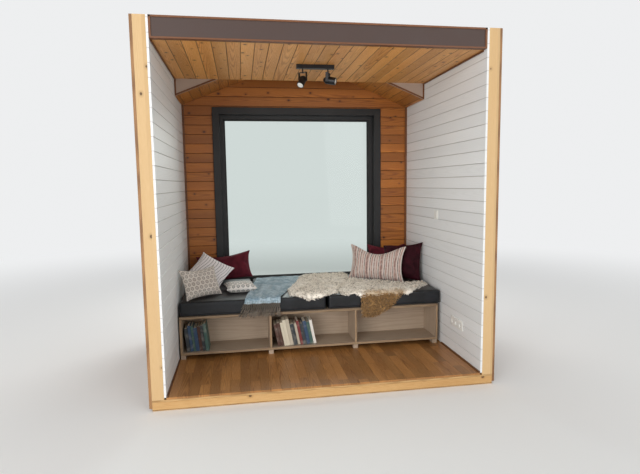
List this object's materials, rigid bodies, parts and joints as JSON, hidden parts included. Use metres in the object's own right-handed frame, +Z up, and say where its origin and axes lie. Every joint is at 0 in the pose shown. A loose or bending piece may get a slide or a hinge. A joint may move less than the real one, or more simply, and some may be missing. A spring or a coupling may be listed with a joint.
{
  "type": "window seat bay of a tiny house",
  "caption": "End bay of a timber tiny house: picture window, padded window seat with open cubbies, low gable roof, loft deck on a beam, and a swivelling ceiling spotlight.",
  "frame": {"origin": "on the ground under the middle of the part's overall box", "axes": "+X to the right as seen from the room looking at the window, +Y out through the end wall, +Z up"},
  "size_m": [2.55, 1.855, 2.9135],
  "materials": {
    "stud_timber": "planed softwood",
    "sheathing": "raw board",
    "oak_floor": "oiled",
    "pine_boards": "stained and oiled",
    "pine_soffit": "oiled",
    "pine_ceiling": "oiled",
    "pine_trim": "oiled",
    "white_boards": "painted satin",
    "outer_boards": "oiled larch",
    "grey_paint": "painted matt",
    "birch_ply": "clear lacquer",
    "roof_metal": "satin",
    "anthracite": "satin",
    "black_metal": "satin",
    "glazing": "clear",
    "pad_cover": "embossed satin",
    "print_cotton": "woven, printed",
    "lined_cotton": "woven, printed",
    "dark_velvet": "short pile",
    "striped_weave": "ribbed weave",
    "blue_knit": "soft knit",
    "fleece": "curly wool",
    "hide_hair": "short hair",
    "white_plastic": "matt"
  },
  "bodies": {
    "bay": {"floor_cassette": "sheathing", "floor_planks": "oak_floor", "end_wall_piers": "stud_timber", "end_wall_sill": "stud_timber", "end_wall_gable": "stud_timber", "end_wall_lining": "pine_boards", "end_cladding": "outer_boards", "left_bay_wall": "stud_timber", "left_room_wall": "stud_timber", "right_bay_wall": "stud_timber", "right_room_wall": "stud_timber", "side_linings": "white_boards", "side_claddings": "outer_boards", "roof_left": "stud_timber", "roof_right": "stud_timber", "bay_soffits": "pine_soffit", "roof_covering": "roof_metal", "ridge_cap": "roof_metal", "verge_boards": "anthracite", "roof_end_boards": "grey_paint", "loft_end_board": "pine_boards", "loft_ceiling": "pine_ceiling", "loft_joists": "stud_timber", "loft_floor": "sheathing", "loft_beam": "grey_paint", "loft_beam_trim": "pine_trim", "window_casing": "anthracite", "window_frame": "anthracite", "window_glass": "glazing", "outer_casing": "anthracite", "bench_top": "birch_ply", "bench_uprights": "birch_ply", "bench_base": "birch_ply", "bench_backs": "birch_ply", "bench_feet": "birch_ply", "seat_pad_left": "pad_cover", "seat_pad_middle": "pad_cover", "seat_pad_right": "pad_cover", "pillow_wall_side": "print_cotton", "pillow_lined": "lined_cotton", "pillow_lying": "print_cotton", "pillow_dark_left": "dark_velvet", "pillow_dark_wall": "dark_velvet", "pillow_dark_back": "dark_velvet", "pillow_striped": "striped_weave", "throw": "blue_knit", "fleece_middle": "fleece", "fleece_right": "fleece", "fleece_drop": "hide_hair", "spot_rail": "black_metal", "corner_trims": "pine_trim", "wall_switch": "white_plastic", "wall_socket": "white_plastic"},
    "yoke_left": {"spot_yoke_left": "black_metal"},
    "head_left": {"spot_head_left": "black_metal"},
    "yoke_right": {"spot_yoke_right": "black_metal"},
    "head_right": {"spot_head_right": "black_metal"}
  },
  "joints": [
    {"name": "spot_turn_left", "type": "hinge", "parent": "bay", "child": "yoke_left", "pos_m": [-0.09, -0.3275, 2.3893], "axis": [0, 0, 1], "range_deg": [-170, 170]},
    {"name": "spot_tilt_left", "type": "hinge", "parent": "yoke_left", "child": "head_left", "pos_m": [-0.09, -0.3275, 2.3353], "axis": [0.766, -0.6428, 0], "range_deg": [-50, 130]},
    {"name": "spot_turn_right", "type": "hinge", "parent": "bay", "child": "yoke_right", "pos_m": [0.11, -0.3275, 2.3893], "axis": [0, 0, 1], "range_deg": [-170, 170]},
    {"name": "spot_tilt_right", "type": "hinge", "parent": "yoke_right", "child": "head_right", "pos_m": [0.11, -0.3275, 2.3353], "axis": [0.4226, 0.9063, 0], "range_deg": [-12, 168]}
  ]
}
